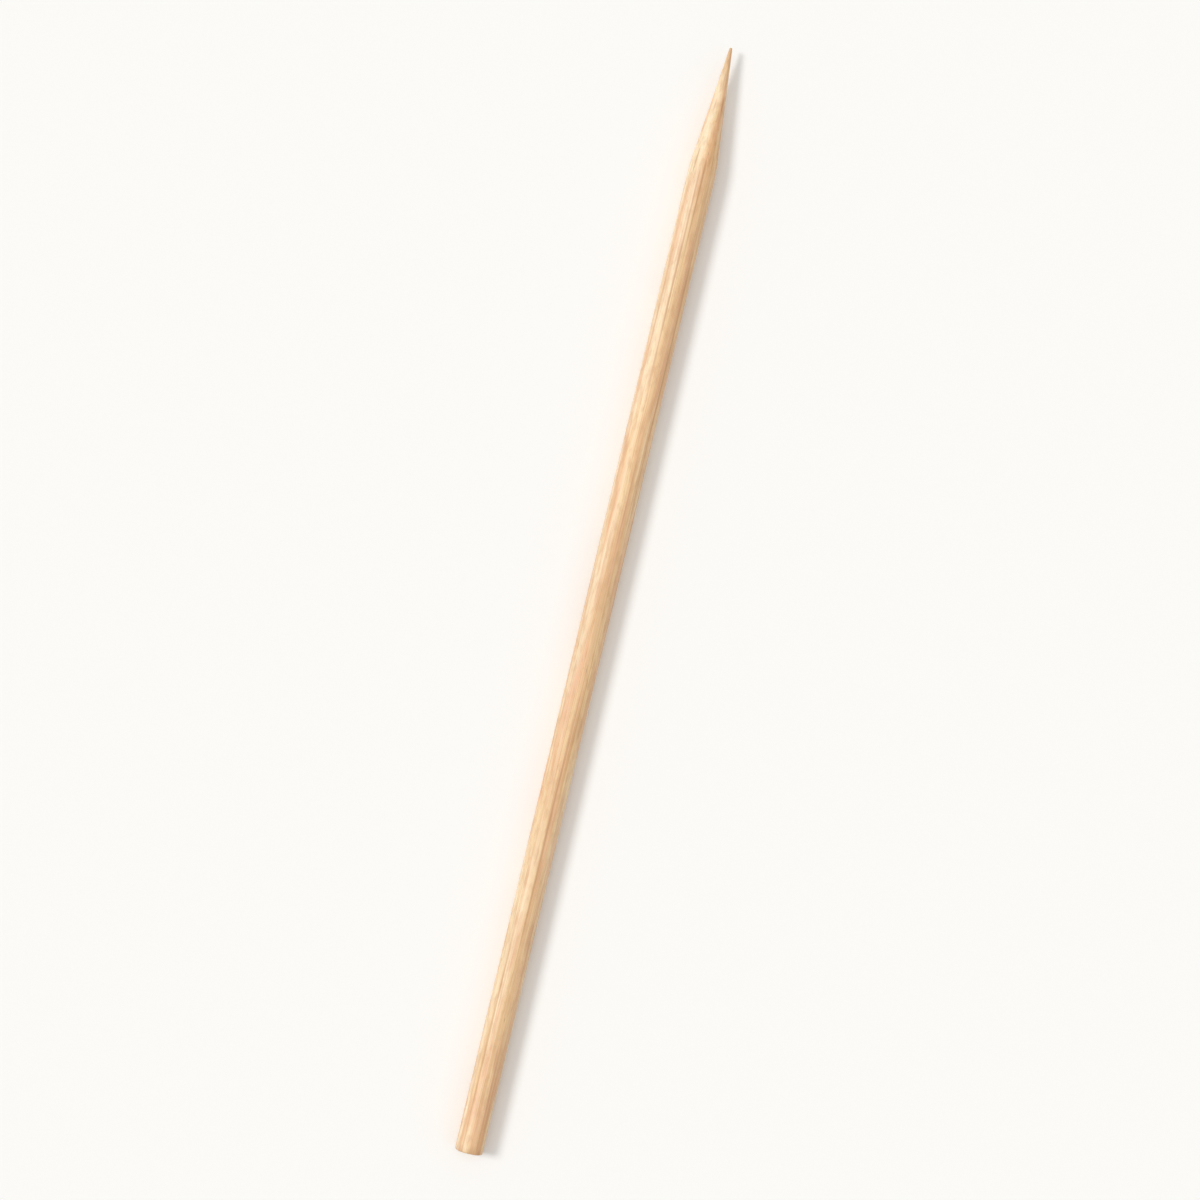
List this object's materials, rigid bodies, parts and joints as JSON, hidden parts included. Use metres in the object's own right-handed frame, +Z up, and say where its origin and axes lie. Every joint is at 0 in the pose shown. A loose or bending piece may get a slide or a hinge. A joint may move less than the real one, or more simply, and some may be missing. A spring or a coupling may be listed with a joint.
{
  "type": "bamboo skewer",
  "caption": "Round bamboo skewer: a straight stick with a long cone point at one end and a flat cut at the other.",
  "frame": {"origin": "centre of the flat cut end, on the stick's axis", "axes": "+X runs along the stick from the cut end to the tip; the stick is round about X, so +Z is up as it lies"},
  "size_m": [0.15, 0.0038, 0.0038],
  "materials": {
    "bamboo": "planed and tumbled raw bamboo, pale straw, matt with a soft sheen"
  },
  "bodies": {
    "root": {"skewer": "bamboo"}
  },
  "joints": []
}
